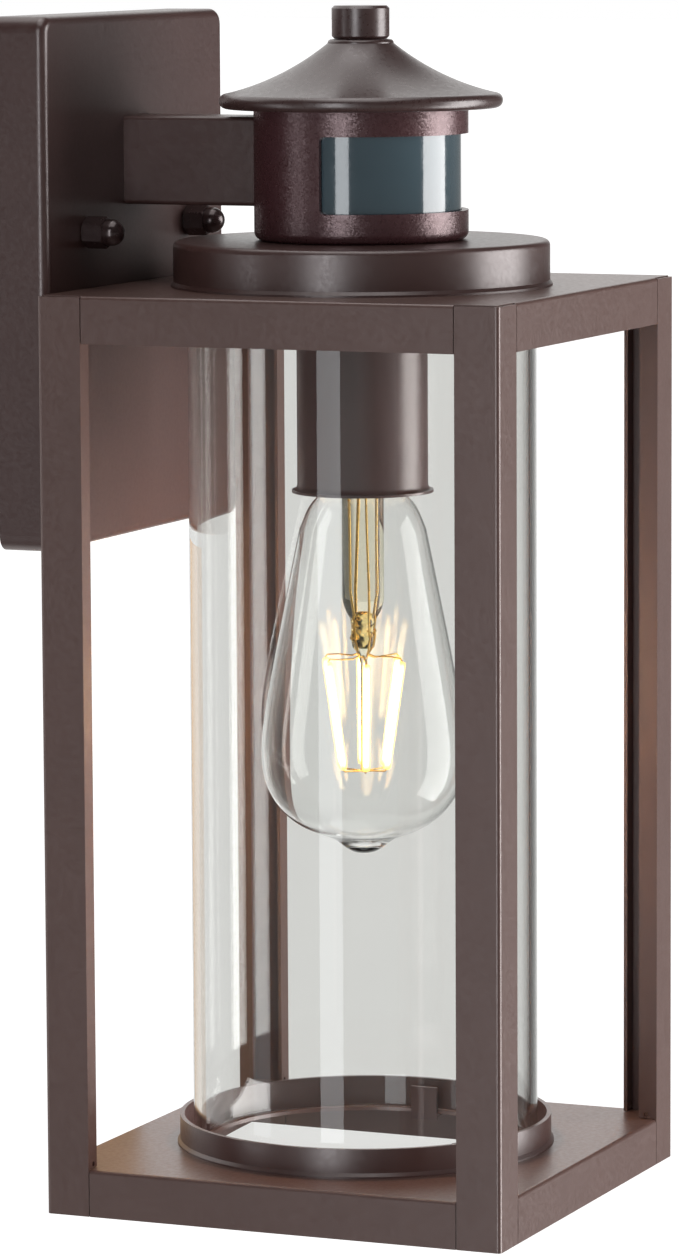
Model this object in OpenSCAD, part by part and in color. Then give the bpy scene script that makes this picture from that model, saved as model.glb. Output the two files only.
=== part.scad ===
// Outdoor wall lantern with a clear glass cylinder and a drum motion sensor.
// Millimetres. The wall is the plane y = 0, the lantern stands out towards -y,
// z is up and the origin is the middle of the wall plate's back.

/* [Wall plate] */
// Width of the wall plate
plate_w = 132; // [125:1:150]
// Height of the wall plate
plate_h = 163; // [150:1:190]
// Depth of the wall plate
plate_d = 17; // [14:0.5:17]
// Radius of the plate's outline corners
plate_corner_r = 5; // [4:0.5:12]
// Radius of the plate's front edge
plate_edge_r = 2.8; // [1:0.2:3.4]
// Distance between the two cap nuts
nut_spacing = 75; // [60:1:90]
// Height of the cap nuts above the middle of the plate
nut_z = 15; // [12:0.5:16]

/* [Arm] */
// Width of the arm tube
arm_w = 20; // [14:1:24]
// Height of the arm tube
arm_h = 27.5; // [22:0.5:30]
// Height of the arm's middle above the middle of the plate
arm_z = 36; // [34:0.5:38]
// Distance from the wall to the lantern's axis
axis_d = 93; // [93:0.5:120]

/* [Sensor head] */
// Radius of the sensor drum
drum_r = 33.1; // [33:0.1:34]
// Radius of the roof's rim
roof_r = 43.75; // [40:0.25:55]
// Height of the roof from its underside to its shoulder
roof_h = 21.1; // [19:0.1:26]
// Radius of the finial knob
knob_r = 8.9; // [8:0.1:11]
// Height of the finial knob
knob_h = 10.1; // [9:0.1:14]
// Radius of the round canopy under the drum
canopy_r = 58.2; // [56:0.1:64]

/* [Cage] */
// Side of the square cage
cage_side = 150; // [146:1:151]
// Height of the cage
cage_h = 283; // [270:1:320]
// Height of the rails
rail_h = 14.5; // [12:0.5:18]
// Width of each post's outer faces
post_w = 14.2; // [12:0.2:16]
// Width of each post's folded lip
post_lip = 6; // [4:0.5:8]

/* [Glass] */
// Outer radius of the glass cylinder
glass_r = 54; // [53:0.1:54.6]
// Wall of the glass cylinder
glass_wall = 2.4; // [2:0.1:3]

/* [Lamp] */
// Outer radius of the socket cup
cup_r = 20.3; // [20:0.1:24]
// Largest radius of the bulb
bulb_r = 32; // [29:0.5:36]
// Full length of the bulb, from its contact to its tip
bulb_len = 140; // [138:1:144]

/* [Hidden] */
$fn = 96;
sheet = 1.2;
half = cage_side / 2;
cage_top = -2;
cage_bottom = cage_top - cage_h;
base_top = cage_bottom + rail_h;
seam = 0.3;
canopy_h = 14;
canopy_top = cage_top + canopy_h;
drum_top = 52.5;
drum_wall = 2;
window_z0 = 21.3;
window_z1 = 44.8;
lens_r = drum_r - drum_wall - 0.2;
nipple_r = 4.95;
nipple_bore_r = 3.5;
roof_z = drum_top;
rim_r = 2.3;
shoulder_r = 10.2;
shoulder_round = 1.2;
knob_z = roof_z + roof_h + 0.15;
cup_top = -12;
cup_bottom = -66;
bulb_tip = -179.4;
bulb_top = bulb_tip + bulb_len;
bulb_mid = -147.5;
stud_r = 2;
clearance = 0.4;
standoff_angles = [90, 210, 330];

// ---------- shared shapes ----------

// Move to the lantern's upright axis.
module at_axis(z = 0) {
    translate([0, -axis_d, z]) children();
}

// Upright ring about the local axis.
module ring(r_out, r_in, z0, z1) {
    translate([0, 0, z0]) difference() {
        cylinder(r = r_out, h = z1 - z0);
        translate([0, 0, -1]) cylinder(r = r_in, h = z1 - z0 + 2);
    }
}

// Turn a shape drawn along z so that it runs out from the wall, along -y.
module outward() {
    rotate([90, 0, 0]) children();
}

// Flat rectangle with round corners, centred.
module round_rect(w, h, r) {
    square([w - 2 * r, h], center = true);
    square([w, h - 2 * r], center = true);
    for (sx = [-1, 1], sy = [-1, 1])
        translate([sx * (w / 2 - r), sy * (h / 2 - r)]) circle(r);
}

// Slot outline along y.
module slot_outline(len, r) {
    square([2 * r, len - 2 * r], center = true);
    for (s = [-1, 1]) translate([0, s * (len / 2 - r)]) circle(r);
}

// ---------- wall plate ----------

// Cross-section of a pan: w wide, d deep, its two front edges rounded.
module pan_section(w, d, r) {
    translate([-w / 2, 0]) square([w, d - r]);
    translate([-w / 2 + r, 0]) square([w - 2 * r, d]);
    for (s = [-1, 1]) translate([s * (w / 2 - r), d - r]) circle(r);
}

// Solid pan standing out from the wall, round corners and round front edge.
module pan_solid(w, h, d, rc, re) {
    rotate([90, 0, 90])
        linear_extrude(height = w - 2 * rc, center = true)
            rotate([0, 0, 90]) pan_section(h, d, re);
    linear_extrude(height = h - 2 * rc, center = true)
        mirror([0, 1]) pan_section(w, d, re);
    for (sx = [-1, 1], sz = [-1, 1])
        translate([sx * (w / 2 - rc), 0, sz * (h / 2 - rc)]) outward()
            rotate_extrude() intersection() {
                pan_section(2 * rc, d, re);
                square([rc, d]);
            }
}

module wall_plate() {
    wall = 1.5;
    color("#4a3b3a") difference() {
        pan_solid(plate_w, plate_h, plate_d, plate_corner_r, plate_edge_r);
        translate([0, wall, 0])
            pan_solid(plate_w - 2 * wall, plate_h - 2 * wall, plate_d,
                      plate_corner_r - wall, plate_edge_r - wall + 0.3);
        for (s = [-1, 1])
            translate([s * nut_spacing / 2, 0, nut_z]) outward()
                cylinder(r = stud_r + 0.6, h = plate_d + 5);
        translate([0, 0, arm_z]) outward() cylinder(r = 6, h = plate_d + 5);
    }
}

// ---------- bracket behind the plate ----------

// Upright strap screwed to the electrical box, with a slot at each end.
module box_strap() {
    slot_pitch = 88.9;
    color("#b8bcc0") translate([0, 0, nut_z]) outward()
        linear_extrude(height = 1.6) difference() {
            round_rect(19, 110, 3);
            for (s = [-1, 1])
                translate([0, s * slot_pitch / 2]) slot_outline(12, 2.4);
            circle(2.2);
        }
}

// Strap across it that carries the two studs.
module fixture_strap() {
    color("#b8bcc0") translate([0, -1.6, nut_z]) outward()
        linear_extrude(height = 1.6) difference() {
            round_rect(98, 17, 3);
            for (s = [-1, 1])
                translate([s * nut_spacing / 2, 0]) circle(stud_r + 0.1);
            circle(2.2);
            translate([17, 0]) circle(2.2);
        }
}

// Rivet-like screw that joins the two straps.
module strap_screw() {
    color("#c8ccd0") translate([0, -0.1, nut_z]) outward() {
        cylinder(r = 2.1, h = 3.1);
        translate([0, 0, 3.1]) cylinder(r = 4, h = 2);
    }
}

// Green screw for the earth wire.
module ground_screw() {
    color("#2f7d46") translate([17, -1.8, nut_z]) outward() difference() {
        union() {
            cylinder(r = 2.1, h = 1.4);
            translate([0, 0, 1.4]) cylinder(r = 4.2, h = 2.4);
        }
        translate([-5, -0.5, 2.8]) cube([10, 1, 3]);
    }
}

// Two threaded studs that reach out through the plate.
module plate_studs() {
    color("#c8ccd0") for (s = [-1, 1])
        translate([s * nut_spacing / 2, 0, nut_z]) outward() {
            translate([0, 0, 0.2]) cylinder(r = 3.6, h = 1.4);
            translate([0, 0, 1.6]) cylinder(r = stud_r, h = plate_d + 4.9);
        }
}

// Tall cap nut: hexagon body with two flats upright, then a round cap.
module cap_nut(side) {
    across = 8.7;
    hex_r = across / 2 / cos(30);
    hex_h = 7;
    cap_r = 4.1;
    color("#4d3c3a") translate([side * nut_spacing / 2, -plate_d - 0.15, nut_z])
        outward() difference() {
            union() {
                intersection() {
                    rotate([0, 0, 30]) cylinder(r = hex_r, h = hex_h, $fn = 6);
                    rotate_extrude() polygon([[0, 0], [hex_r - 0.5, 0], [hex_r, 0.4],
                        [hex_r, hex_h - 0.5], [hex_r - 0.6, hex_h], [0, hex_h]]);
                }
                translate([0, 0, hex_h - 0.5]) rotate_extrude() {
                    square([cap_r, 1.9]);
                    intersection() {
                        translate([0, 1.9]) circle(cap_r);
                        square([cap_r, 1.9 + cap_r]);
                    }
                }
            }
            translate([0, 0, -1]) cylinder(r = stud_r + clearance, h = hex_h + 2);
        }
}

module cap_nut_left() {
    cap_nut(-1);
}

module cap_nut_right() {
    cap_nut(1);
}

// ---------- arm ----------

module arm_tube() {
    wall = 1.6;
    color("#4a3b3a") difference() {
        translate([0, -plate_d, arm_z]) outward()
            linear_extrude(height = axis_d - plate_d) difference() {
                round_rect(arm_w, arm_h, 1.4);
                square([arm_w - 2 * wall, arm_h - 2 * wall], center = true);
            }
        at_axis() cylinder(r = drum_r, h = 100);
    }
}

// ---------- sensor head ----------

// Drum with a half-round window facing away from the wall.
module sensor_housing() {
    foot_r = 2.8;
    color("#4d3a3b") at_axis() difference() {
        union() {
            translate([0, 0, canopy_top + foot_r])
                cylinder(r = drum_r, h = drum_top - canopy_top - foot_r);
            translate([0, 0, canopy_top]) rotate_extrude() {
                square([drum_r - foot_r, foot_r]);
                intersection() {
                    translate([drum_r - foot_r, foot_r]) circle(foot_r);
                    square([drum_r, foot_r]);
                }
            }
        }
        translate([0, 0, canopy_top + 2])
            cylinder(r = drum_r - drum_wall, h = drum_top);
        cylinder(r = nipple_r + 0.15, h = drum_top);
        window_cut();
        rotate([-90, 0, 0]) translate([0, -arm_z, 25]) cylinder(r = 5, h = 20);
    }
}

// Window opening: square in plan, its rear corners rounded.
module window_cut() {
    r = 1.5;
    mid = (window_z0 + window_z1) / 2;
    tall = window_z1 - window_z0;
    rotate([90, 0, 90]) linear_extrude(height = 90, center = true) {
        translate([-50, mid - tall / 2]) square([50 - r, tall]);
        translate([-50, mid - tall / 2 + r]) square([50, tall - 2 * r]);
        for (s = [-1, 1]) translate([-r, mid + s * (tall / 2 - r)]) circle(r);
    }
}

// Curved sensor lens standing just inside the window.
module sensor_lens() {
    color("#5c7480") at_axis() intersection() {
        ring(lens_r, lens_r - 1.3, window_z0 - 2.5, window_z1 + 2.5);
        translate([-50, -50, 0]) cube([100, 57, 100]);
    }
}

// Main circuit board, on three stand-offs above the drum's floor.
module sensor_board() {
    color("#2d6a45") at_axis(25) linear_extrude(height = 1.6) difference() {
        circle(27.5);
        circle(7);
        for (a = standoff_angles) rotate(a) translate([22, 0]) circle(1.5);
    }
}

module board_standoffs() {
    color("#d8d8d2") at_axis() for (a = standoff_angles) rotate(a)
        translate([22, 0, canopy_top + 2]) {
            cylinder(r = 2.6, h = 25 - canopy_top - 2);
            cylinder(r = 1.4, h = 28 - canopy_top - 2);
        }
}

// Upright board that faces the lens.
module detector_board() {
    color("#2d6a45") at_axis(26.6) translate([-15, -12, 0]) cube([30, 1.6, 18]);
}

// Two heat detectors in metal cans.
module pyro_sensors() {
    color("#c9c9c4") at_axis(35) for (s = [-1, 1])
        translate([s * 8, -12, 0]) outward() difference() {
            cylinder(r = 4.5, h = 4);
            translate([-2, -1.5, 3.6]) cube([4, 3, 1]);
        }
}

// Light cell that keeps the lamp off by day.
module photocell() {
    color("#b3543a") at_axis(41.5) translate([0, -12, 0]) outward()
        cylinder(r = 2.4, h = 2);
}

module relay() {
    color("#2b5fa0") at_axis(26.6) translate([-20, 4, 0]) cube([12, 15, 10]);
}

// Small supply: a transformer block and an upright capacitor.
module power_module() {
    color("#d6b33a") at_axis(26.6) {
        translate([9, 4, 0]) cube([11, 13, 11]);
        translate([0, 15, 0]) cylinder(r = 5, h = 12);
    }
}

// Bar across the drum that the roof is pulled down on.
module roof_bridge() {
    color("#b8bcc0") at_axis(48) difference() {
        intersection() {
            translate([-32, -5, 0]) cube([64, 10, 1.6]);
            cylinder(r = drum_r - drum_wall, h = 5);
        }
        translate([0, 0, -1]) cylinder(r = 2.6, h = 4);
    }
}

// Screw that comes up through bridge and roof into the knob.
module finial_rod() {
    color("#c8ccd0") at_axis() {
        translate([0, 0, 45]) cylinder(r = 4.6, h = 3, $fn = 6);
        translate([0, 0, 48]) cylinder(r = 2.5, h = knob_z + 6.6 - 48);
    }
}

// Nut that locks the screw to the bridge.
module rod_nut() {
    color("#c8ccd0") at_axis(49.6) difference() {
        cylinder(r = 4.6, h = 3, $fn = 6);
        translate([0, 0, -1]) cylinder(r = 2.55, h = 5);
    }
}

// ---------- roof and knob ----------

// Radius of the concave sweep that joins rim and shoulder.
sweep_p0 = [roof_r - rim_r, 2 * rim_r];
sweep_p1 = [shoulder_r, roof_h - shoulder_round];
sweep_chord = norm(sweep_p1 - sweep_p0);
sweep_sag = 1.95;
sweep_r = sweep_chord * sweep_chord / 8 / sweep_sag + sweep_sag / 2;
sweep_dir = (sweep_p1 - sweep_p0) / sweep_chord;
sweep_c = (sweep_p0 + sweep_p1) / 2
        + (sweep_r - sweep_sag) * [sweep_dir[1], -sweep_dir[0]];

module roof_section() {
    difference() {
        polygon([[0, 0], [roof_r - rim_r, 0], sweep_p0, sweep_p1,
                 [shoulder_r - shoulder_round, roof_h], [0, roof_h]]);
        translate(sweep_c) circle(sweep_r, $fn = 360);
    }
    translate([roof_r - rim_r, rim_r]) circle(rim_r);
    translate([shoulder_r - shoulder_round, roof_h - shoulder_round]) circle(shoulder_round);
}

module roof_cap() {
    wall = 2;
    color("#6a5f5c") at_axis(roof_z) difference() {
        rotate_extrude() intersection() {
            roof_section();
            square([60, 60]);
        }
        rotate_extrude() difference() {
            translate([0, -1]) square([drum_r - drum_wall, roof_h - 1.2]);
            translate(sweep_c) circle(sweep_r + wall, $fn = 360);
        }
        cylinder(r = 2.9, h = 40);
    }
}

module finial_knob() {
    bevel = 0.8;
    color("#6a5f5c") at_axis(knob_z) difference() {
        rotate_extrude() polygon([[0, 0], [knob_r - bevel, 0], [knob_r, bevel],
            [knob_r, knob_h - bevel], [knob_r - bevel, knob_h], [0, knob_h]]);
        translate([0, 0, -1]) cylinder(r = 2.5 + clearance, h = 8.2);
    }
}

// ---------- stack below the drum ----------

// Hollow threaded tube: clamps drum, canopy, tray and cup, carries the wires.
module lamp_nipple() {
    color("#c8b070") at_axis() ring(nipple_r, nipple_bore_r, cup_top - 6, 22);
}

// Hexagon lock nuts on that tube.
module nipple_nuts() {
    color("#c8ccd0") at_axis()
        for (z = [canopy_top + 2, cage_top - sheet - 3, cup_top, cup_top - sheet - 3])
            translate([0, 0, z]) difference() {
                cylinder(r = 8.2, h = 3, $fn = 6);
                translate([0, 0, -1]) cylinder(r = nipple_r + 0.05, h = 5);
            }
}

// Round spun cover between drum and cage, open underneath.
module canopy() {
    wall = 1.5;
    edge = 1.8;
    color("#4a3b3a") at_axis(cage_top) difference() {
        rotate_extrude() {
            square([canopy_r - edge, canopy_h]);
            square([canopy_r, canopy_h - edge]);
            translate([canopy_r - edge, canopy_h - edge]) circle(edge);
            polygon([[0, 0], [canopy_r + 0.8, 0], [canopy_r + 0.8, 0.6], [canopy_r, 1.6], [0, 1.6]]);
        }
        translate([0, 0, -1]) cylinder(r = canopy_r - wall, h = canopy_h - wall + 1);
        cylinder(r = nipple_r + 0.15, h = 40);
    }
}

// ---------- cage ----------

// One folded side of a tray: top leg and hanging leg with a rounded bend.
module tray_side(z_top) {
    run = 2 * (half - post_w - seam);
    for (a = [0, 90, 180, 270]) rotate(a)
        translate([0, half, z_top]) rotate([90, 0, 90])
            linear_extrude(height = run, center = true) {
                translate([-12, -sheet]) square([12 - sheet, sheet]);
                translate([-sheet, -rail_h]) square([sheet, rail_h - sheet]);
                intersection() {
                    translate([-sheet, -sheet]) circle(sheet);
                    translate([-sheet, -sheet]) square(2 * sheet);
                }
            }
}

// Square folded tray with a round hole.
module tray(z_top, hole_r) {
    at_axis() difference() {
        union() {
            tray_side(z_top);
            translate([-half + sheet, -half + sheet, z_top - sheet])
                cube([cage_side - 2 * sheet, cage_side - 2 * sheet, sheet]);
        }
        translate([0, 0, z_top - 5]) cylinder(r = hole_r, h = 10);
    }
}

module top_tray() {
    color("#4a3b3a") tray(cage_top, nipple_r + 0.15);
}

module base_tray() {
    color("#4a3b3a") tray(base_top, 50.5);
}

// Folded corner post: two faces and two inward lips.
module post_section() {
    translate([sheet, 0]) square([post_w - sheet, sheet]);
    translate([0, sheet]) square([sheet, post_w - sheet]);
    intersection() {
        translate([sheet, sheet]) circle(sheet);
        square(sheet);
    }
}

module post_lips() {
    translate([post_w - sheet, 0]) square([sheet, post_lip]);
    translate([0, post_w - sheet]) square([post_lip, sheet]);
}

module post(sx, sy) {
    hole_z = base_top + 1.4;
    color("#5c4d4a") at_axis() scale([-sx, -sy, 1]) translate([-half, -half, 0]) difference() {
        union() {
            translate([0, 0, cage_bottom])
                linear_extrude(height = cage_top - 0.4 - cage_bottom) post_section();
            translate([0, 0, base_top + 0.2])
                linear_extrude(height = cage_top - sheet - 0.4 - base_top) post_lips();
        }
        translate([3.6, post_w + 1, hole_z]) rotate([90, 0, 0]) cylinder(r = 0.8, h = 4);
        translate([post_w + 1, 3.6, hole_z]) rotate([0, -90, 0]) cylinder(r = 0.8, h = 4);
    }
}

module post_front_left() {
    post(-1, -1);
}

module post_front_right() {
    post(1, -1);
}

module post_rear_left() {
    post(-1, 1);
}

module post_rear_right() {
    post(1, 1);
}

// ---------- glass and what holds it ----------

// Ring on the base tray that the glass stands in.
module glass_collar() {
    color("#4a3b3a") at_axis(base_top) rotate_extrude() {
        translate([56.9, 0]) square([1.4, 8.9]);
        polygon([[56.9, 0], [59.1, 0], [59.1, 0.5], [58.3, 1.5], [56.9, 1.5]]);
    }
}

// Three folded clips hooked on the edge of the tray's hole.
module glass_clips() {
    color("#4d3c3a") at_axis(base_top) for (a = [0, 120, 240]) rotate(a) {
        translate([49, -4.5, -3.2]) cube([1, 9, 10.6]);
        translate([50, -4.5, -2.2]) cube([5, 9, 1]);
    }
}

// Ring under the top tray that the glass reaches up into.
module glass_top_ring() {
    color("#4a3b3a") at_axis() ring(57, 55.6, cage_top - sheet - 9, cage_top - sheet);
}

module glass_cylinder() {
    edge = 0.7;
    tall = cage_top - sheet - 1.5 - base_top;
    inner = glass_r - glass_wall;
    color("#dfe6e8", 0.35) at_axis(base_top) rotate_extrude()
        polygon([[inner, edge], [inner + edge, 0], [glass_r - edge, 0], [glass_r, edge],
                 [glass_r, tall - edge], [glass_r - edge, tall],
                 [inner + edge, tall], [inner, tall - edge]]);
}

// ---------- lamp holder ----------

// Metal cup with a flared mouth.
module socket_cup() {
    lip = 1.7;
    color("#4a3b3a") at_axis() difference() {
        rotate_extrude() {
            translate([0, cup_bottom + 0.8]) square([cup_r, cup_top - cup_bottom - 0.8]);
            difference() {
                translate([0, cup_bottom]) square([cup_r + lip, lip + 0.8]);
                translate([cup_r + lip, cup_bottom + lip + 0.8]) circle(lip);
            }
        }
        translate([0, 0, cup_bottom - 1])
            cylinder(r = cup_r - 1.1, h = cup_top - cup_bottom - sheet + 1);
        translate([0, 0, cup_top - 5]) cylinder(r = nipple_r + 0.15, h = 10);
    }
}

// Insulating body of the lamp socket, open below.
module lamp_socket() {
    body_top = cup_top - sheet - 3;
    color("#e4e0d6") at_axis() difference() {
        translate([0, 0, cup_bottom + 2]) cylinder(r = 18, h = body_top - cup_bottom - 2);
        translate([0, 0, cup_bottom]) cylinder(r = 13.9, h = bulb_top + 3 - cup_bottom);
        translate([0, 0, cup_top - 6]) cylinder(r = nipple_r + 0.05, h = 10);
        translate([8, 0, bulb_top]) cylinder(r = 1.2, h = 40);
        translate([-8, 0, bulb_top]) cylinder(r = 1.2, h = 40);
    }
}

// Brass shell that takes the bulb's thread.
module socket_screw_shell() {
    color("#c9a24c") at_axis() difference() {
        translate([0, 0, cup_bottom + 4]) cylinder(r = 13.9, h = bulb_top + 1 - cup_bottom - 4);
        translate([0, 0, cup_bottom]) cylinder(r = 13.45, h = 60);
    }
}

// Centre contact under the socket's roof.
module socket_contact() {
    color("#c9a24c") at_axis(bulb_top + 0.35) {
        cylinder(r = 3, h = 0.8);
        translate([-2, -2, 0.8]) cube([4, 4, 1.85]);
    }
}

// ---------- bulb ----------

base_top_z = bulb_top - 2.4;
base_low_z = base_top_z - 23.4;
thread_pitch = 3.6;

// Bulb's screw base, a thin shell with rounded thread ridges.
module bulb_screw_base() {
    color("#c4c6c8") at_axis() difference() {
        union() {
            translate([0, 0, base_low_z]) cylinder(r = 12.4, h = base_top_z - base_low_z);
            for (i = [0:4])
                translate([0, 0, base_top_z - 4 - i * thread_pitch]) rotate_extrude()
                    polygon([[0, -1.3], [12.4, -1.3], [13, -0.4], [13, 0.4], [12.4, 1.3], [0, 1.3]]);
        }
        translate([0, 0, base_low_z - 1]) cylinder(r = 12, h = base_top_z - base_low_z + 0.2);
        translate([0, 0, base_top_z - 3]) cylinder(r = 8.6, h = 6);
    }
}

// Black glass between the shell and the contact.
module bulb_insulator() {
    color("#1c1c1e") at_axis() translate([0, 0, base_top_z - 0.8])
        rotate_extrude() polygon([[0, 0], [8.6, 0], [8.6, 0.8], [5, 2.5], [0, 2.5]]);
}

module bulb_contact() {
    color("#b9bcc0") at_axis(bulb_top - 0.7) cylinder(r = 4.4, h = 0.7);
}

// Small driver hidden in the screw base.
module bulb_driver() {
    color("#2d6a45") at_axis() translate([0, 0, base_low_z + 8]) cylinder(r = 9.5, h = 12);
}

// Outline radius of the bulb above its widest level, t millimetres up.
function upper_r(t) = bulb_r - 0.205 * (sqrt(t * t + 121) - 11);

// Outline of the bulb's bottom: a slightly squared ellipse at angle a.
function lower_pt(a, r, b) = [r * pow(cos(a), 0.889), bulb_mid - b * pow(sin(a), 0.889)];

// Blunt drop of glass left where the bulb was sealed.
tip = [for (a = [0:15:90]) [8.3 * cos(a), bulb_mid - 27.3 - 4.6 * sin(a)]];

// Outline of the glass, drawn inwards by the amount w.
module bulb_outline(w) {
    drop = 27.5 - w;
    neck = [[0, -60.2], [11.7 - w, -60.2], [11.7 - w, -65.4], [13.4 - w, -66.6],
            [15.6 - w, -69], [17.6 - w, -72.2], [19 - w, -75.6]];
    upper = [for (t = [68:-6:2]) [upper_r(t) - w, bulb_mid + t]];
    lower = [for (a = [0:7.5:82.5]) lower_pt(a, bulb_r - w, drop)];
    polygon(concat(neck, upper, lower, w > 0 ? [[0, bulb_mid - drop]] : tip));
}

module bulb_glass() {
    color("#eef2f2", 0.35) at_axis() rotate_extrude() difference() {
        bulb_outline(0);
        bulb_outline(0.9);
    }
}

// Glass stem: wide tube, pinched waist and thin rod.
module bulb_stem() {
    color("#eef2f2", 0.35) at_axis() rotate_extrude()
        polygon([[0, -61], [10.8, -61], [10.8, -62.5], [6.5, -66], [6.5, -100],
                 [5.6, -103.5], [3.8, -106], [3.7, -114.5], [1.5, -116.5], [1.5, -154], [0, -154]]);
}

filament_count = 6;
filament_top = [13.3, -118.5];
filament_low = [7.8, -152.5];

// Six straight light strips standing on a cone.
module bulb_filaments() {
    run = filament_top - filament_low;
    lean = atan(run[0] / run[1]);
    color("#ffcf70") at_axis() for (i = [0:filament_count - 1])
        rotate(i * 60 + 27) translate([filament_low[0], 0, filament_low[1]])
            rotate([0, lean, 0]) cylinder(r = 0.9, h = norm(run), $fn = 24);
}

// Two wire stars that hold the strips.
module bulb_wires() {
    color("#b9b4a8") at_axis() for (i = [0:filament_count - 1]) rotate(i * 60 + 27) {
        translate([1.55, 0, -117.6]) rotate([0, 90, 0]) cylinder(r = 0.35, h = 11.9, $fn = 16);
        translate([1.55, 0, -153.1]) rotate([0, 90, 0]) cylinder(r = 0.35, h = 6.2, $fn = 16);
    }
}

// ---------- one line for each node ----------

wall_plate();
box_strap();
fixture_strap();
strap_screw();
ground_screw();
plate_studs();
cap_nut_left();
cap_nut_right();
arm_tube();
sensor_housing();
sensor_lens();
sensor_board();
board_standoffs();
detector_board();
pyro_sensors();
photocell();
relay();
power_module();
roof_bridge();
finial_rod();
rod_nut();
roof_cap();
finial_knob();
lamp_nipple();
nipple_nuts();
canopy();
top_tray();
glass_top_ring();
post_front_left();
post_front_right();
post_rear_left();
post_rear_right();
base_tray();
glass_collar();
glass_clips();
glass_cylinder();
socket_cup();
lamp_socket();
socket_screw_shell();
socket_contact();
bulb_screw_base();
bulb_insulator();
bulb_contact();
bulb_driver();
bulb_glass();
bulb_stem();
bulb_filaments();
bulb_wires();
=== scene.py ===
import math

import bmesh
import bpy
from mathutils import Matrix, Vector


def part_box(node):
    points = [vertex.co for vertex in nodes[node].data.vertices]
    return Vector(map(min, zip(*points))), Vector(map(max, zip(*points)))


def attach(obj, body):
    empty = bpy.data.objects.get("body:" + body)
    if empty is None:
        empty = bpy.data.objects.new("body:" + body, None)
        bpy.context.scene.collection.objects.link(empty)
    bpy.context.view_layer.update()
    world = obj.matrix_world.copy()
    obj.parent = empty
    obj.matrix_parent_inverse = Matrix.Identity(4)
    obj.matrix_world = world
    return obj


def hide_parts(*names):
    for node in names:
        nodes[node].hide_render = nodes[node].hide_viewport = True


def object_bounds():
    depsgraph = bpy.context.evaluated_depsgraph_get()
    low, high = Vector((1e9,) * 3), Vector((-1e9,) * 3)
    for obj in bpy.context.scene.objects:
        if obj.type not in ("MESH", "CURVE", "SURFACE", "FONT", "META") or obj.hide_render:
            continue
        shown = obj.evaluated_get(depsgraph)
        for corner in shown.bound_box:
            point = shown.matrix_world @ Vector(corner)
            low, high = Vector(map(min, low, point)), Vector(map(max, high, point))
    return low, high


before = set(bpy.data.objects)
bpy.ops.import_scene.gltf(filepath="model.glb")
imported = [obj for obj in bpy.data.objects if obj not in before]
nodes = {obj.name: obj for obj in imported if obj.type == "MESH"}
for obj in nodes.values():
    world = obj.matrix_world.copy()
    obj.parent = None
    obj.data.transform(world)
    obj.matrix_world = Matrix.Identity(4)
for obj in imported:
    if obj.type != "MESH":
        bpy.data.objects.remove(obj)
cad_lo, cad_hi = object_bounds()

MM = 0.001

# The lantern's upright axis, read from the glass.
glass_lo, glass_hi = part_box("glass_cylinder")
AXIS = Vector(((glass_lo.x + glass_hi.x) / 2, (glass_lo.y + glass_hi.y) / 2, 0.0))

# ---------- camera ----------

CAMERA_PLACE = Vector((-1.68809, -0.80337, 0.11741))
CAMERA_FORWARD = Vector((0.91316, 0.38864, -0.12288))
CAMERA_ROLL = math.radians(0.30)
CAMERA_LENS = 169.5
CAMERA_SENSOR = 36.0
CAMERA_AZIMUTH = 203.05  # direction from the lantern to the camera, in degrees from +X


def make_camera():
    data = bpy.data.cameras.new("camera")
    data.lens = CAMERA_LENS
    data.sensor_width = CAMERA_SENSOR
    camera = bpy.data.objects.new("camera", data)
    bpy.context.scene.collection.objects.link(camera)
    aim = CAMERA_FORWARD.to_track_quat("-Z", "Y").to_matrix().to_4x4()
    camera.matrix_world = Matrix.Translation(CAMERA_PLACE) @ aim @ Matrix.Rotation(-CAMERA_ROLL, 4, "Z")
    bpy.context.scene.camera = camera


# ---------- studio ----------

LIGHT_AIM = AXIS + Vector((0.0, 0.0, -0.1))


def softbox(name, turn, rise, distance, width, height, radiance, colour=(1.0, 1.0, 1.0), through=True):
    """An area light aimed at the lantern. turn is degrees to the right of the camera's side, rise degrees up.

    A light with through=False isn't seen through the glass, so it can't wash out a view from the far side.
    """
    data = bpy.data.lights.new(name, "AREA")
    data.shape = "RECTANGLE"
    data.size = width
    data.size_y = height
    data.energy = radiance * math.pi * width * height
    data.color = colour
    light = bpy.data.objects.new(name, data)
    bpy.context.scene.collection.objects.link(light)
    angle = math.radians(CAMERA_AZIMUTH + turn)
    lift = math.radians(rise)
    out = Vector((math.cos(angle) * math.cos(lift), math.sin(angle) * math.cos(lift), math.sin(lift)))
    light.location = LIGHT_AIM + out * distance
    light.rotation_mode = "QUATERNION"
    light.rotation_quaternion = (-out).to_track_quat("-Z", "Y")
    light.visible_camera = False
    light.visible_transmission = through


LAMP_GLOW_POWER = 0.55
LAMP_GLOW_COLOUR = (1.0, 0.76, 0.48)
LAMP_GLOW_RADIUS = 14.0 * MM


def lamp_glow():
    """The warm light that the filaments throw on the cage."""
    data = bpy.data.lights.new("lamp_glow", "POINT")
    data.energy = LAMP_GLOW_POWER
    data.color = LAMP_GLOW_COLOUR
    data.shadow_soft_size = LAMP_GLOW_RADIUS
    light = bpy.data.objects.new("lamp_glow", data)
    bpy.context.scene.collection.objects.link(light)
    low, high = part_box("bulb_filaments")
    light.location = (AXIS.x, AXIS.y, (low.z + high.z) / 2)
    light.visible_camera = False
    light.visible_glossy = False
    light.visible_transmission = False


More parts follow.
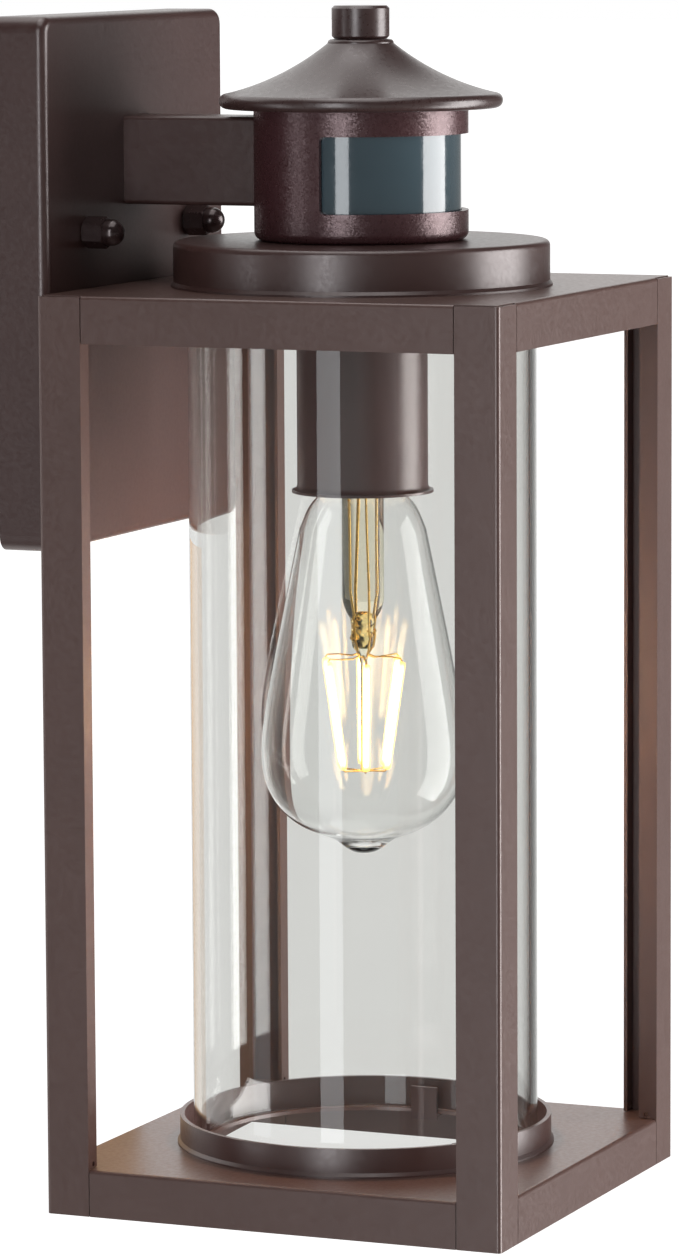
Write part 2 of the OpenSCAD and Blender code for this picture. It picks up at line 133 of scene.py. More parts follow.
STUDIO_TONES = (
    # turn right of the camera's side in degrees, brightness
    (-180.0, 1.08),
    (-114.0, 1.08),
    (-98.0, 0.30),
    (-84.0, 0.04),
    (0.0, 0.04),
    (62.0, 0.05),
    (150.0, 0.05),
    (160.0, 0.12),
    (169.0, 1.08),
    (180.0, 1.08),
)
STUDIO_BLUE = 0.99  # how much blue there is next to red and green
FLOOR_SHARE = 0.64  # how bright the floor is next to the backdrop, as a source of light


def studio_tone(tree, direction):
    """The studio's brightness round the lantern: a bright backdrop and a dim room on the other sides."""
    angle = math.radians(CAMERA_AZIMUTH)
    parts = []
    for axis in ((math.cos(angle), math.sin(angle), 0.0), (-math.sin(angle), math.cos(angle), 0.0)):
        dot = tree.nodes.new("ShaderNodeVectorMath")
        dot.operation = "DOT_PRODUCT"
        dot.inputs[1].default_value = axis
        tree.links.new(direction, dot.inputs[0])
        parts.append(dot.outputs["Value"])
    turn = tree.nodes.new("ShaderNodeMath")
    turn.operation = "ARCTAN2"
    tree.links.new(parts[1], turn.inputs[0])
    tree.links.new(parts[0], turn.inputs[1])
    share = spread(tree, turn.outputs[0], -math.pi, math.pi, 0.0, 1.0)
    ramp = tree.nodes.new("ShaderNodeValToRGB")
    tree.links.new(share, ramp.inputs["Fac"])
    stops = ramp.color_ramp.elements
    while len(stops) < len(STUDIO_TONES):
        stops.new(0.5)
    for stop, (degrees, tone) in zip(stops, STUDIO_TONES):
        stop.position = degrees / 360.0 + 0.5
        stop.color = (tone, tone, tone * STUDIO_BLUE, 1.0)
    return ramp.outputs["Color"]


CARD_LEFT, CARD_RIGHT = -16.0 * MM, 36.0 * MM
CARD_LOW, CARD_HIGH = -330.0 * MM, -88.0 * MM
CARD_BEHIND = 2.0 * MM
CARD_FADE_LOW, CARD_FADE_HIGH = -300.0 * MM, -150.0 * MM
CARD_DULL = (0.62, 0.47, 0.33)
CARD_AMBER = (0.86, 0.50, 0.20)


def wall_card():
    """A small warm card where a wall would catch the lamp's light. Only reflections see it."""
    corners = [(CARD_LEFT, CARD_BEHIND, CARD_LOW), (CARD_RIGHT, CARD_BEHIND, CARD_LOW),
               (CARD_RIGHT, CARD_BEHIND, CARD_HIGH), (CARD_LEFT, CARD_BEHIND, CARD_HIGH)]
    mesh = bpy.data.meshes.new("wall_card")
    mesh.from_pydata(corners, [], [(0, 1, 2, 3)])
    card = bpy.data.objects.new("wall_card", mesh)
    bpy.context.scene.collection.objects.link(card)
    mat, tree, shader = new_material("warm_card")
    place = tree.nodes.new("ShaderNodeTexCoord")
    split = tree.nodes.new("ShaderNodeSeparateXYZ")
    tree.links.new(place.outputs["Object"], split.inputs["Vector"])
    fade = spread(tree, split.outputs["Z"], CARD_FADE_LOW, CARD_FADE_HIGH, 0.0, 1.0)
    tree.links.new(blend_colour(tree, fade, CARD_DULL, CARD_AMBER), shader.inputs["Emission Color"])
    shader.inputs["Emission Strength"].default_value = 1.0
    shader.inputs["Base Color"].default_value = (0.0, 0.0, 0.0, 1.0)
    shader.inputs["Specular IOR Level"].default_value = 0.0
    mesh.materials.append(mat)
    card.visible_camera = False
    card.visible_diffuse = False
    card.visible_transmission = False
    card.visible_shadow = False


def make_world():
    """Pure white for the camera, and the studio's own tones for light and reflections."""
    world = bpy.data.worlds.new("studio")
    bpy.context.scene.world = world
    world.use_nodes = True
    tree = world.node_tree
    tree.nodes.clear()
    link = tree.links.new
    place = tree.nodes.new("ShaderNodeTexCoord")
    studio = tree.nodes.new("ShaderNodeBackground")
    link(studio_tone(tree, place.outputs["Generated"]), studio.inputs["Color"])
    seen = tree.nodes.new("ShaderNodeBackground")
    seen.inputs["Color"].default_value = (1.0, 1.0, 1.0, 1.0)
    path = tree.nodes.new("ShaderNodeLightPath")
    mix = tree.nodes.new("ShaderNodeMixShader")
    out = tree.nodes.new("ShaderNodeOutputWorld")
    link(path.outputs["Is Camera Ray"], mix.inputs["Fac"])
    link(studio.outputs[0], mix.inputs[1])
    link(seen.outputs[0], mix.inputs[2])
    link(mix.outputs[0], out.inputs["Surface"])


FLOOR_DROP = 3.0
FLOOR_HALF = 150.0
FLOOR_COLOUR = (0.50, 0.50, 0.495, 1.0)


def make_floor():
    mesh = bpy.data.meshes.new("studio_floor")
    z = cad_lo.z - FLOOR_DROP
    corners = [(sx * FLOOR_HALF, sy * FLOOR_HALF, z) for sx, sy in ((-1, -1), (1, -1), (1, 1), (-1, 1))]
    mesh.from_pydata(corners, [], [(0, 1, 2, 3)])
    floor = bpy.data.objects.new("studio_floor", mesh)
    floor.location = AXIS
    bpy.context.scene.collection.objects.link(floor)
    mat, tree, shader = new_material("pale_floor")
    shader.inputs["Base Color"].default_value = FLOOR_COLOUR
    shader.inputs["Roughness"].default_value = 0.9
    shader.inputs["Specular IOR Level"].default_value = 0.0
    place = tree.nodes.new("ShaderNodeTexCoord")
    path = tree.nodes.new("ShaderNodeLightPath")
    seen = path.outputs["Is Camera Ray"]
    colour = blend_colour(tree, seen, studio_tone(tree, place.outputs["Object"]), (1.0, 1.0, 1.0))
    tree.links.new(colour, shader.inputs["Emission Color"])
    tree.links.new(spread(tree, seen, 0.0, 1.0, FLOOR_SHARE, 1.0), shader.inputs["Emission Strength"])
    mesh.materials.append(mat)


# ---------- material helpers ----------

def new_material(name):
    mat = bpy.data.materials.new(name)
    mat.use_nodes = True
    return mat, mat.node_tree, mat.node_tree.nodes["Principled BSDF"]


def noise(tree, scale, detail=2.0, roughness=0.5):
    """Noise in the lantern's own metres: scale is features per metre."""
    place = tree.nodes.new("ShaderNodeTexCoord")
    node = tree.nodes.new("ShaderNodeTexNoise")
    node.inputs["Scale"].default_value = scale
    node.inputs["Detail"].default_value = detail
    node.inputs["Roughness"].default_value = roughness
    tree.links.new(place.outputs["Object"], node.inputs["Vector"])
    return node.outputs["Fac"]


def spread(tree, value, low, high, new_low, new_high):
    node = tree.nodes.new("ShaderNodeMapRange")
    node.inputs["From Min"].default_value = low
    node.inputs["From Max"].default_value = high
    node.inputs["To Min"].default_value = new_low
    node.inputs["To Max"].default_value = new_high
    tree.links.new(value, node.inputs["Value"])
    return node.outputs["Result"]


def blend_colour(tree, factor, first, second):
    node = tree.nodes.new("ShaderNodeMix")
    node.data_type = "RGBA"
    tree.links.new(factor, node.inputs["Factor"])
    for socket, value in ((node.inputs[6], first), (node.inputs[7], second)):
        if isinstance(value, tuple):
            socket.default_value = (*value, 1.0)
        else:
            tree.links.new(value, socket)
    return node.outputs[2]


def bump(tree, shader, height, distance, strength=1.0):
    node = tree.nodes.new("ShaderNodeBump")
    node.inputs["Distance"].default_value = distance
    node.inputs["Strength"].default_value = strength
    tree.links.new(height, node.inputs["Height"])
    tree.links.new(node.outputs["Normal"], shader.inputs["Normal"])
    return node


def random_cells(tree, scale):
    """A random red, green and blue for each small cell."""
    place = tree.nodes.new("ShaderNodeTexCoord")
    cells = tree.nodes.new("ShaderNodeTexVoronoi")
    cells.inputs["Scale"].default_value = scale
    tree.links.new(place.outputs["Object"], cells.inputs["Vector"])
    return cells.outputs["Color"]


def vector_math(tree, operation, first, second=None):
    node = tree.nodes.new("ShaderNodeVectorMath")
    node.operation = operation
    for socket, value in zip(node.inputs, (first, second)):
        if value is None:
            continue
        if isinstance(value, tuple):
            socket.default_value = value
        else:
            tree.links.new(value, socket)
    return node.outputs["Vector"]


# ---------- materials ----------

PAINT_IOR = 1.95  # higher than clear resin, because of the metal flake in it
MOTTLE_SCALE = 60.0
PEEL_SCALE = 650.0
FLAKE_SCALE = 3200.0
NOISE_LOW, NOISE_HIGH = 0.3, 0.7  # most of a noise's values lie between these
METAL_BUMP = 0.00001
MOULDED_BUMP = 0.00002
GLASS_TONE_SCALE = 30.0
GLASS_TONE_STEP = 0.006
GLASS_RIPPLE_SCALE = 24.0
FILAMENT_BASE = (1.0, 0.72, 0.22, 1.0)
END_FROM, END_FULL = 0.84, 0.98  # shares of the strip's half length where its yellow end starts and is full
END_GLOW = 0.12  # how bright an end is next to the middle


def bronze(name, dark, light, rough=0.31, shine=0.15, tilt=0.02, peel=0.000007):
    """Powder coat: slow mottling, orange peel, and a fine metal grain that shows only in the highlights."""
    mat, tree, shader = new_material(name)
    shader.inputs["Metallic"].default_value = shine
    shader.inputs["IOR"].default_value = PAINT_IOR
    patches = spread(tree, noise(tree, MOTTLE_SCALE, 5.0, 0.6), NOISE_LOW, NOISE_HIGH, 0.0, 1.0)
    tree.links.new(blend_colour(tree, patches, dark, light), shader.inputs["Base Color"])
    grain = noise(tree, PEEL_SCALE, 3.0, 0.6)
    dull = spread(tree, grain, NOISE_LOW, NOISE_HIGH, rough - 0.05, rough + 0.06)
    tree.links.new(dull, shader.inputs["Roughness"])
    surface = tree.nodes.new("ShaderNodeNewGeometry")
    cells = vector_math(tree, "SUBTRACT", random_cells(tree, FLAKE_SCALE), (0.5, 0.5, 0.5))
    lean = vector_math(tree, "MULTIPLY", cells, (tilt, tilt, tilt))
    leaning = vector_math(tree, "NORMALIZE", vector_math(tree, "ADD", surface.outputs["Normal"], lean))
    node = bump(tree, shader, grain, peel)
    tree.links.new(leaning, node.inputs["Normal"])
    return mat


def metal(name, colour, worn, rough=0.3, scale=420.0):
    """Plated or bare metal with fine streaks and a little dullness."""
    mat, tree, shader = new_material(name)
    shader.inputs["Metallic"].default_value = 1.0
    patches = spread(tree, noise(tree, scale, 4.0, 0.65), 0.35, 0.7, 0.0, 1.0)
    tree.links.new(blend_colour(tree, patches, colour, worn), shader.inputs["Base Color"])
    tree.links.new(spread(tree, patches, 0.0, 1.0, rough - 0.07, rough + 0.12), shader.inputs["Roughness"])
    bump(tree, shader, patches, METAL_BUMP)
    return mat


def moulded(name, colour, second, rough=0.45, scale=700.0, coat=0.0):
    """Moulded plastic, ceramic or board: small grain over a slow change of tone."""
    mat, tree, shader = new_material(name)
    shader.inputs["Coat Weight"].default_value = coat
    shader.inputs["Coat Roughness"].default_value = 0.12
    tone = spread(tree, noise(tree, scale * 0.1, 3.0), NOISE_LOW, NOISE_HIGH, 0.0, 1.0)
    tree.links.new(blend_colour(tree, tone, colour, second), shader.inputs["Base Color"])
    grain = noise(tree, scale, 3.0)
    dull = spread(tree, grain, NOISE_LOW, NOISE_HIGH, rough - 0.06, rough + 0.06)
    tree.links.new(dull, shader.inputs["Roughness"])
    bump(tree, shader, grain, MOULDED_BUMP)
    return mat


def lens_plastic():
    """Smoked slate plastic with a polished skin."""
    mat = moulded("lens_plastic", (0.056, 0.094, 0.116), (0.064, 0.105, 0.129), rough=0.13, coat=0.9)
    shader = mat.node_tree.nodes["Principled BSDF"]
    shader.inputs["Coat Roughness"].default_value = 0.04
    shader.inputs["Coat IOR"].default_value = 1.68
    return mat


def clear_glass(name, tint, ior=1.47, ripple=0.000004):
    """Clear glass. Its tone shifts very slightly from place to place, as drawn glass does."""
    mat, tree, shader = new_material(name)
    shader.inputs["Transmission Weight"].default_value = 1.0
    shader.inputs["IOR"].default_value = ior
    shader.inputs["Roughness"].default_value = 0.0
    tone = spread(tree, noise(tree, GLASS_TONE_SCALE, 2.0), NOISE_LOW, NOISE_HIGH, 0.0, 1.0)
    near = tuple(min(1.0, c + GLASS_TONE_STEP) for c in tint)
    tree.links.new(blend_colour(tree, tone, tint, near), shader.inputs["Base Color"])
    bump(tree, shader, noise(tree, GLASS_RIPPLE_SCALE, 1.0), ripple)
    return mat


def glowing(name, colour, strength, ends, low, high):
    """Lit filament: white hot along its length, deeper yellow towards its two ends."""
    mat, tree, shader = new_material(name)
    shader.inputs["Base Color"].default_value = FILAMENT_BASE
    shader.inputs["Roughness"].default_value = 0.5
    place = tree.nodes.new("ShaderNodeTexCoord")
    split = tree.nodes.new("ShaderNodeSeparateXYZ")
    tree.links.new(place.outputs["Object"], split.inputs["Vector"])
    middle, half = (low + high) / 2, (high - low) / 2
    away = tree.nodes.new("ShaderNodeMath")
    away.operation = "SUBTRACT"
    away.inputs[1].default_value = middle
    tree.links.new(split.outputs["Z"], away.inputs[0])
    size = tree.nodes.new("ShaderNodeMath")
    size.operation = "ABSOLUTE"
    tree.links.new(away.outputs[0], size.inputs[0])
    end = spread(tree, size.outputs[0], half * END_FROM, half * END_FULL, 0.0, 1.0)
    tree.links.new(blend_colour(tree, end, colour, ends), shader.inputs["Emission Color"])
    glow = spread(tree, end, 0.0, 1.0, strength, strength * END_GLOW)
    tree.links.new(glow, shader.inputs["Emission Strength"])
    return mat


def dress():
    """Every CAD node gets its material by name."""
    paint = bronze("bronze_paint", (0.078, 0.036, 0.032), (0.089, 0.043, 0.038),
                   rough=0.33, tilt=0.008, peel=0.000004)
    # The posts and trays take the same powder coat as the plate, cup and canopy, with a lighter base colour:
    # painted light for the light that falls on the cage.
    cage_lit_bronze = bronze("bronze_folded", (0.126, 0.064, 0.053), (0.140, 0.073, 0.061),
                    rough=0.33, tilt=0.008)
    drum = bronze("bronze_drum", (0.096, 0.034, 0.037), (0.116, 0.043, 0.049),
                  rough=0.29, shine=0.36, tilt=0.16, peel=0.000010)
    roof = bronze("bronze_roof", (0.068, 0.034, 0.032), (0.078, 0.041, 0.038),
                  rough=0.30, tilt=0.008, peel=0.000004)
    nut = bronze("bronze_nut", (0.050, 0.027, 0.026), (0.062, 0.035, 0.034),
                 rough=0.22, shine=0.45, tilt=0.02)
    zinc = metal("zinc_steel", (0.60, 0.61, 0.62), (0.44, 0.45, 0.46), 0.34)
    green = moulded("earth_green", (0.030, 0.210, 0.070), (0.045, 0.260, 0.090), 0.35, coat=0.5)
    black = moulded("black_glass", (0.008, 0.008, 0.010), (0.014, 0.014, 0.016), 0.12, coat=1.0)
    board = moulded("circuit_board", (0.030, 0.170, 0.070), (0.045, 0.210, 0.090), 0.35, coat=0.4)
    brass = metal("socket_brass", (0.74, 0.54, 0.24), (0.56, 0.38, 0.15), 0.28)
    looks = {
        paint: ["wall_plate", "arm_tube", "canopy", "glass_collar", "glass_clips", "socket_cup",
                "glass_top_ring"],
        cage_lit_bronze: ["top_tray", "base_tray", "post_front_left", "post_front_right", "post_rear_left",
                 "post_rear_right"],
        drum: ["sensor_housing"],
        roof: ["roof_cap", "finial_knob"],
        nut: ["cap_nut_left", "cap_nut_right"],
        zinc: ["box_strap", "fixture_strap", "strap_screw", "plate_studs", "roof_bridge", "finial_rod",
               "rod_nut", "nipple_nuts"],
        metal("bulb_nickel", (0.66, 0.66, 0.65), (0.50, 0.50, 0.49), 0.24): ["bulb_screw_base"],
        metal("solder_tin", (0.62, 0.63, 0.65), (0.46, 0.47, 0.49), 0.40): ["bulb_contact"],
        metal("detector_can", (0.70, 0.69, 0.66), (0.58, 0.57, 0.54), 0.18): ["pyro_sensors"],
        metal("nipple_brass", (0.72, 0.58, 0.30), (0.52, 0.40, 0.18), 0.32): ["lamp_nipple"],
        brass: ["socket_screw_shell", "socket_contact"],
        board: ["sensor_board", "detector_board", "bulb_driver"],
        green: ["ground_screw"],
        moulded("standoff_plastic", (0.66, 0.66, 0.62), (0.72, 0.72, 0.68), 0.5): ["board_standoffs"],
        moulded("light_cell", (0.48, 0.15, 0.08), (0.56, 0.20, 0.10), 0.25, coat=0.8): ["photocell"],
        moulded("relay_plastic", (0.045, 0.130, 0.330), (0.060, 0.160, 0.380), 0.3, coat=0.4): ["relay"],
        moulded("supply_parts", (0.56, 0.38, 0.06), (0.64, 0.45, 0.09), 0.4): ["power_module"],
        moulded("socket_ceramic", (0.70, 0.67, 0.60), (0.77, 0.74, 0.67), 0.4, coat=0.3): ["lamp_socket"],
        black: ["bulb_insulator"],
        lens_plastic(): ["sensor_lens"],
    }
    for mat, names in looks.items():
        for name in names:
            node = nodes[name]
            node.data.materials.clear()
            node.data.materials.append(mat)


# ---------- mesh helpers ----------

def finish_mesh(name, bm, mat, body, sharp=35.0):
    bmesh.ops.recalc_face_normals(bm, faces=bm.faces)
    mesh = bpy.data.meshes.new(name)
    bm.to_mesh(mesh)
    bm.free()
    for face in mesh.polygons:
        face.use_smooth = True
    mesh.set_sharp_from_angle(angle=math.radians(sharp))
    mesh.materials.append(mat)
    piece = bpy.data.objects.new(name, mesh)
    bpy.context.scene.collection.objects.link(piece)
    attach(piece, body)
    return piece


def revolve(bm, outline, steps=128, closed=True):
    """Turn (radius, height) points about the lantern's axis. Points on the axis become one vertex."""
    rings = []
    for radius, height in outline:
        if radius < 1e-6:
            rings.append([bm.verts.new((AXIS.x, AXIS.y, height))])
            continue
        ring = []
        for i in range(steps):
            a = 2 * math.pi * i / steps
            ring.append(bm.verts.new((AXIS.x + radius * math.cos(a), AXIS.y + radius * math.sin(a), height)))
        rings.append(ring)
    pairs = list(zip(rings, rings[1:] + rings[:1])) if closed else list(zip(rings, rings[1:]))
    for one, two in pairs:
        for i in range(steps):
            j = (i + 1) % steps
            corners = []
            for ring, k in ((one, i), (one, j), (two, j), (two, i)):
                vertex = ring[0] if len(ring) == 1 else ring[k]
                if vertex not in corners:
                    corners.append(vertex)
            if len(corners) > 2:
                bm.faces.new(corners)


def skin(bm, rings):
    """Faces between the rings, and a face over each end."""
    sides = len(rings[0])
    for one, two in zip(rings, rings[1:]):
        for k in range(sides):
            m = (k + 1) % sides
            bm.faces.new((one[k], one[m], two[m], two[k]))
    bm.faces.new(rings[0][::-1])
    bm.faces.new(rings[-1])


def round_ring(bm, centre, turn, radius, sides):
    """A ring of vertices round the centre, in the plane that turn sets."""
    ring = []
    for k in range(sides):
        a = 2 * math.pi * k / sides
        offset = Vector((radius * math.cos(a), radius * math.sin(a), 0.0))
        ring.append(bm.verts.new(centre + turn @ offset))
    return ring


def tube(bm, points, radius, sides=10):
    """A round wire along the points, closed at both ends."""
    rings = []
    for i, point in enumerate(points):
        before = points[max(i - 1, 0)]
        after = points[min(i + 1, len(points) - 1)]
        turn = (after - before).to_track_quat("Z", "Y").to_matrix()
        rings.append(round_ring(bm, point, turn, radius, sides))
    skin(bm, rings)


def around(radius, degrees, height):
    a = math.radians(degrees)
    return Vector((AXIS.x + radius * math.cos(a), AXIS.y + radius * math.sin(a), height))


def arc(centre, radius, start, stop, steps):
    """Points on a circle in (radius, height), angles in degrees."""
    out = []
    for i in range(steps + 1):
        a = math.radians(start + (stop - start) * i / steps)
        out.append((centre[0] + radius * math.cos(a), centre[1] + radius * math.sin(a)))
    return out


def upright(radius, start, stop, margin=0.15 * MM, rings=8):
    """Rings up a straight wall. One close to each end keeps the edge's roundness off the wall's shading."""
    way = 1.0 if stop > start else -1.0
    first, last = start + way * margin, stop - way * margin
    return [(radius, first + (last - first) * i / rings) for i in range(rings + 1)]


# ---------- glass cylinder ----------

GLASS_WALL = 2.4 * MM
GLASS_RIM = 0.9 * MM


def glass_cylinder():
    outer = (glass_hi.x - glass_lo.x) / 2
    inner = outer - GLASS_WALL
    low, high = glass_lo.z, glass_hi.z
    r = GLASS_RIM
    outline = arc((outer - r, low + r), r, -90, 0, 5) + upright(outer, low + r, high - r)
    outline += arc((outer - r, high - r), r, 0, 90, 5) + arc((inner + r, high - r), r, 90, 180, 5)
    outline += upright(inner, high - r, low + r) + arc((inner + r, low + r), r, 180, 270, 5)
    bm = bmesh.new()
    revolve(bm, outline, steps=192)
    mat = clear_glass("clear_glass", (0.915, 0.918, 0.905))
    piece = finish_mesh("glass_chimney", bm, mat, "lantern", sharp=80.0)
    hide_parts("glass_cylinder")
    piece.visible_shadow = False
    piece.visible_diffuse = False


# ---------- bulb ----------

bulb_lo, bulb_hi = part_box("bulb_glass")
BULB_R = (bulb_hi.x - bulb_lo.x) / 2
BULB_TIP = bulb_lo.z
BULB_WIDEST = BULB_TIP + 31.9 * MM
BULB_WALL = 0.5 * MM
LAMP_GLASS_IOR = 1.32  # below real glass, so that the thin glass gleams only faintly
PINCH_IOR = 1.30
BULB_BOWL = 27.5 * MM  # depth of the round bottom below the widest place
BULB_SQUARENESS = 0.889  # below 1 the bowl is a little fuller than half a ball
BULB_TAPER = 0.205
BULB_TAPER_SOFTNESS = 11.0
NECK_R = 11.7
NECK_FOOT = 82.1
# Radius, and height above the widest place, in mm.
NECK_CURVE = ((12.3, 81.4), (13.3, 80.7), (14.5, 79.6), (15.6, 78.4), (16.6, 77.0), (17.6, 75.2),
              (18.4, 73.2))
TAPER_TOP, TAPER_STEP, TAPER_COUNT = 70.0, 2.0, 36
BOWL_STEP, BOWL_COUNT = 3.0, 28
TIP_R = 11.5
# Radius, and height above the tip, in mm.
TIP_CURVE = ((10.2, 5.0), (9.0, 4.3), (8.0, 3.5), (7.0, 2.7), (5.8, 1.8), (4.4, 0.95), (3.0, 0.4),
             (1.5, 0.1), (0.0, 0.0))


def bulb_outline(inward):
    """The bulb's outline from its neck down to its tip, drawn in by that amount."""
    out = [(NECK_R * MM - inward, bulb_hi.z), (NECK_R * MM - inward, BULB_WIDEST + NECK_FOOT * MM)]
    out += [(r * MM - inward, BULB_WIDEST + t * MM) for r, t in NECK_CURVE]
    for step in range(TAPER_COUNT):
        t = TAPER_TOP - TAPER_STEP * step
        drawn = math.sqrt(t * t + BULB_TAPER_SOFTNESS ** 2) - BULB_TAPER_SOFTNESS
        out.append((BULB_R - BULB_TAPER * MM * drawn - inward, BULB_WIDEST + t * MM))
    drop = BULB_BOWL - inward
    for step in range(1, BOWL_COUNT + 1):
        a = math.radians(BOWL_STEP * step)
        radius = (BULB_R - inward) * math.cos(a) ** BULB_SQUARENESS
        out.append((radius, BULB_WIDEST - drop * math.sin(a) ** BULB_SQUARENESS))
    if inward > 0:
        out.append((0.0, BULB_WIDEST - drop))
        return out
    out = [p for p in out if p[0] > TIP_R * MM]
    return out + [(r * MM, BULB_TIP + t * MM) for r, t in TIP_CURVE]


def bulb_glass():
    bm = bmesh.new()
    revolve(bm, bulb_outline(0.0) + bulb_outline(BULB_WALL)[::-1], steps=144)
    mat = clear_glass("bulb_clear_glass", (0.985, 0.990, 0.985), LAMP_GLASS_IOR)
    piece = finish_mesh("lamp_envelope", bm, mat, "bulb", sharp=80.0)
    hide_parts("bulb_glass")
    piece.visible_shadow = False
    piece.visible_diffuse = False


STEM_FLARE_R = 10.7
STEM_FLARE_LIP = 1.2
STEM_FLARE_IN = 4.2
STEM_FLARE_DROP = 5.0
PINCH_TOP = -101.0
PINCH_LOW = -116.0
# Radius in mm, and height in mm from the top or the bottom of the pinch.
STEM_SHOULDER = ((6.5, 1.5), (6.1, -0.5), (5.3, -2.6), (4.1, -4.6), (3.8, -7.5), (4.0, -10.0))
STEM_FOOT = ((3.5, 1.6), (2.3, 0.0), (1.5, -1.2), (1.0, -4.0))
# Radius in mm, and height in mm above the rod's end.
STEM_ROD_END = ((1.0, 0.9), (0.7, 0.1), (0.0, 0.0))


def bulb_stem():
    """Stem tube, pinched seal and the rod that carries the wires."""
    low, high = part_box("bulb_stem")
    lip = high.z - STEM_FLARE_LIP * MM
    outline = [(0.0, high.z), (STEM_FLARE_R * MM, high.z), (STEM_FLARE_R * MM, lip)]
    for step in range(1, 11):
        a = math.radians(9 * step)
        radius = STEM_FLARE_R * MM - STEM_FLARE_IN * MM * math.sin(a)
        outline.append((radius, lip - STEM_FLARE_DROP * MM * (1 - math.cos(a))))
    outline += [(r * MM, (PINCH_TOP + t) * MM) for r, t in STEM_SHOULDER]
    outline += [(r * MM, (PINCH_LOW + t) * MM) for r, t in STEM_FOOT]
    outline += [(r * MM, low.z + t * MM) for r, t in STEM_ROD_END]
    bm = bmesh.new()
    revolve(bm, outline, steps=64, closed=False)
    mat = clear_glass("stem_clear_glass", (1.0, 0.945, 0.78), LAMP_GLASS_IOR)
    piece = finish_mesh("lamp_stem", bm, mat, "bulb", sharp=60.0)
    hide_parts("bulb_stem")
    piece.visible_shadow = False


SEAL_TOP = -102.5
SEAL_DROP = 12.5
SEAL_WIDE = 4.6
SEAL_THIN = 2.9
SEAL_TURN = 25.0
SEAL_RINGS = 25
SEAL_SIDES = 40
SEAL_FULLNESS = 0.55  # 1 is a plain half wave from end to end, and less is fuller
SEAL_WAVE = 0.14
SEAL_LUMP, SEAL_SMALL_LUMP = 0.10, 0.06


def bulb_pinch():
    """The pressed seal low on the stem, lumpy and flat, where the wires come out."""
    bm = bmesh.new()
    rings = []
    for i in range(SEAL_RINGS):
        share = (i + 0.5) / SEAL_RINGS
        height = (SEAL_TOP - SEAL_DROP * share) * MM
        wave = 1.0 + SEAL_WAVE * math.sin(9.0 * share + 0.6)
        swell = math.sin(math.pi * share) ** SEAL_FULLNESS * wave
        ring = []
        for k in range(SEAL_SIDES):
            a = 2 * math.pi * k / SEAL_SIDES
            lump = 1.0 + SEAL_LUMP * math.sin(3 * a + 17.0 * share)
            lump = lump + SEAL_SMALL_LUMP * math.sin(7 * a - 23.0 * share)
            wide = SEAL_WIDE * MM * swell * lump * math.cos(a)
            thin = SEAL_THIN * MM * swell * lump * math.sin(a)
            turned = Vector((wide, thin)) @ Matrix.Rotation(math.radians(SEAL_TURN), 2)
            ring.append(bm.verts.new((AXIS.x + turned.x, AXIS.y + turned.y, height)))
        rings.append(ring)
    skin(bm, rings)
    mat = clear_glass("pinch_glass", (1.0, 0.84, 0.46), PINCH_IOR)
    piece = finish_mesh("lamp_pinch", bm, mat, "bulb", sharp=60.0)
    piece.visible_shadow = False


FILAMENTS = 6
FILAMENT_TURN = 27.0
LEAD_TURNS = (35.0, 110.0, 215.0, 290.0)
LEAD_TWIST = 8.0
LEAD_R = 0.34 * MM
STAR_R = 0.26 * MM
STAR_SAG = 0.5
# Radius and height in mm.
LEAD_SPOTS = ((3.4, -61.5), (3.2, -80.0), (3.3, -97.0), (2.6, -103.0), (2.3, -112.0), (1.7, -117.4))
UPPER_SPOTS = ((1.2, -117.0), (4.0, -117.9), (9.0, -117.7))
UPPER_HOOK = ((12.6, -117.6), (13.25, -118.4))
LOWER_SPOTS = ((1.2, -153.5), (4.0, -153.3), (7.2, -153.2), (7.7, -152.6))


def filament_turns():
    return [i * 360.0 / FILAMENTS + FILAMENT_TURN for i in range(FILAMENTS)]


def bulb_wires():
    """Leads down the stem, and a star of wires to the top and bottom ends of the strips."""
    bm = bmesh.new()
    for turn in LEAD_TURNS:
        points = [around(r * MM, turn + LEAD_TWIST * i, z * MM) for i, (r, z) in enumerate(LEAD_SPOTS)]
        tube(bm, points, LEAD_R)
    for turn in filament_turns():
        sag = STAR_SAG * math.cos(math.radians(turn * 2))
        upper = [(r, z - sag) for r, z in UPPER_SPOTS] + list(UPPER_HOOK)
        tube(bm, [around(r * MM, turn, z * MM) for r, z in upper], STAR_R, sides=8)
        tube(bm, [around(r * MM, turn, z * MM) for r, z in LOWER_SPOTS], STAR_R, sides=8)
    mat = metal("lead_wire", (0.86, 0.60, 0.24), (0.66, 0.43, 0.15), 0.3)
    piece = finish_mesh("lamp_wires", bm, mat, "bulb", sharp=60.0)
    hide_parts("bulb_wires")


STRIP_R = 0.85 * MM
COAT_R = 1.35 * MM
STRIP_FOOT_R = 7.8 * MM
STRIP_HEAD_R = 13.1 * MM
STRIP_FOOT_GAP = 0.4 * MM
STRIP_HEAD_GAP = 0.5 * MM
STRIP_COLOUR = (1.0, 0.88, 0.60)
STRIP_END_COLOUR = (1.0, 0.62, 0.12)
STRIP_GLOW = 9.0
COAT_SCALE = 900.0
COAT_COLOUR, COAT_SECOND = (1.0, 0.70, 0.18), (1.0, 0.78, 0.26)
COAT_GLOW = (1.0, 0.68, 0.16, 1.0)
COAT_ALPHA = 0.38
# Place along the strip from 0 to 1, and width there as a share of the full one.
STRIP_SHAPE = ((0.0, 0.35), (0.02, 0.8), (0.05, 1.0), (0.95, 1.0), (0.98, 0.8), (1.0, 0.35))
COAT_SHAPE = ((-0.012, 0.3), (-0.004, 0.8), (0.02, 1.0), (0.98, 1.0), (1.004, 0.8), (1.012, 0.3))


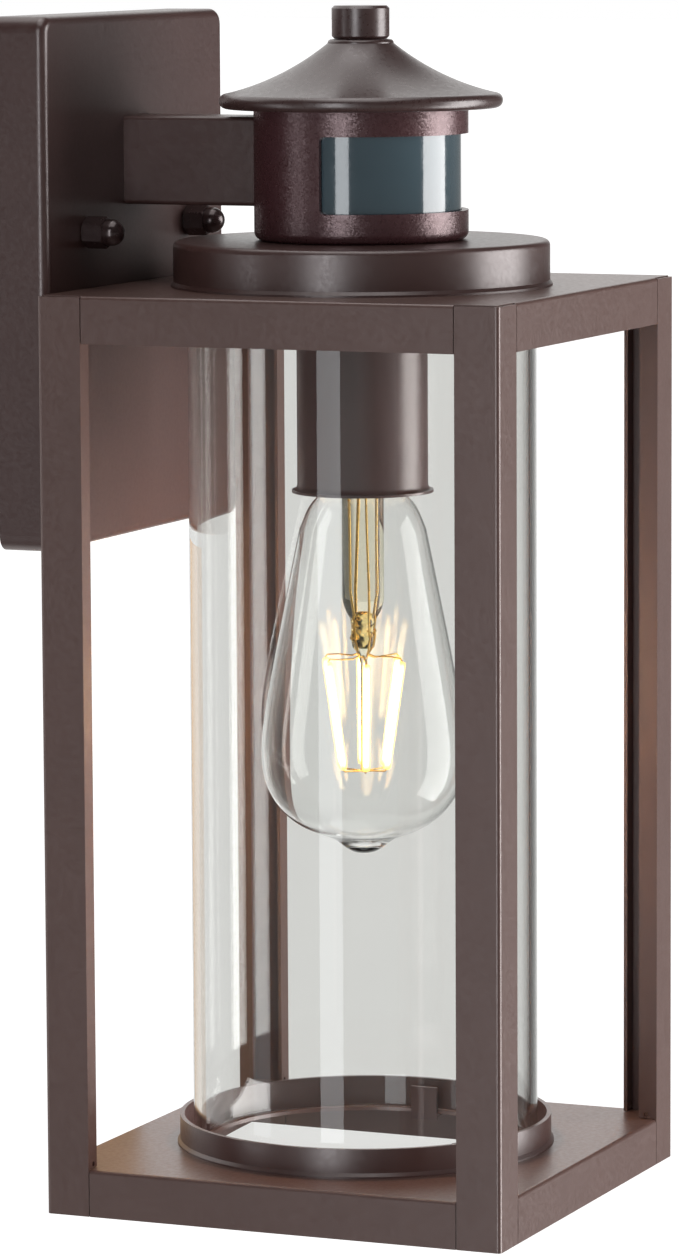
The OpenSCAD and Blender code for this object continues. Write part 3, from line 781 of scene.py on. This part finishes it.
def strips(bm, low, high, shape, radius, sides):
    """Rods standing round the axis and leaning out, one for each filament."""
    for turn in filament_turns():
        foot = around(STRIP_FOOT_R, turn, low.z + STRIP_FOOT_GAP)
        head = around(STRIP_HEAD_R, turn, high.z - STRIP_HEAD_GAP)
        along = head - foot
        leaning = along.to_track_quat("Z", "Y").to_matrix()
        rings = []
        for share, size in shape:
            rings.append(round_ring(bm, foot + along * share, leaning, radius * size, sides))
        skin(bm, rings)


def silicone():
    """The soft yellow glow of the coat on a lit strip."""
    mat, tree, shader = new_material("filament_silicone")
    shader.inputs["Roughness"].default_value = 0.3
    tone = spread(tree, noise(tree, COAT_SCALE, 2.0), NOISE_LOW, NOISE_HIGH, 0.0, 1.0)
    colour = blend_colour(tree, tone, COAT_COLOUR, COAT_SECOND)
    tree.links.new(colour, shader.inputs["Base Color"])
    shader.inputs["Emission Color"].default_value = COAT_GLOW
    shader.inputs["Emission Strength"].default_value = 1.0
    shader.inputs["Alpha"].default_value = COAT_ALPHA
    return mat


def bulb_filaments():
    """The lit strips, and the clear silicone coat round each of them."""
    low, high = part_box("bulb_filaments")
    bm = bmesh.new()
    strips(bm, low, high, STRIP_SHAPE, STRIP_R, sides=12)
    mat = glowing("filament_phosphor", STRIP_COLOUR, STRIP_GLOW, STRIP_END_COLOUR, low.z, high.z)
    piece = finish_mesh("lamp_filaments", bm, mat, "bulb")
    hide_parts("bulb_filaments")
    bm = bmesh.new()
    strips(bm, low, high, COAT_SHAPE, COAT_R, sides=16)
    piece = finish_mesh("filament_coats", bm, silicone(), "bulb", sharp=60.0)
    piece.visible_shadow = False


# ---------- build ----------

bpy.context.scene.view_settings.view_transform = "Standard"
make_camera()
make_world()
make_floor()
softbox("key", turn=93.0, rise=-8.0, distance=1.35, width=0.90, height=1.8, radiance=5.4)
softbox("near_strip", turn=-22.0, rise=0.0, distance=1.5, width=0.40, height=1.7, radiance=3.7,
        colour=(0.94, 0.97, 1.0), through=False)
softbox("left_box", turn=-72.0, rise=-12.0, distance=1.6, width=0.36, height=1.3, radiance=1.4,
        colour=(0.95, 0.97, 1.0), through=False)
softbox("top_box", turn=-10.0, rise=84.0, distance=1.7, width=1.2, height=1.7, radiance=1.5)
wall_card()
lamp_glow()
dress()
glass_cylinder()
bulb_glass()
bulb_stem()
bulb_pinch()
bulb_wires()
bulb_filaments()
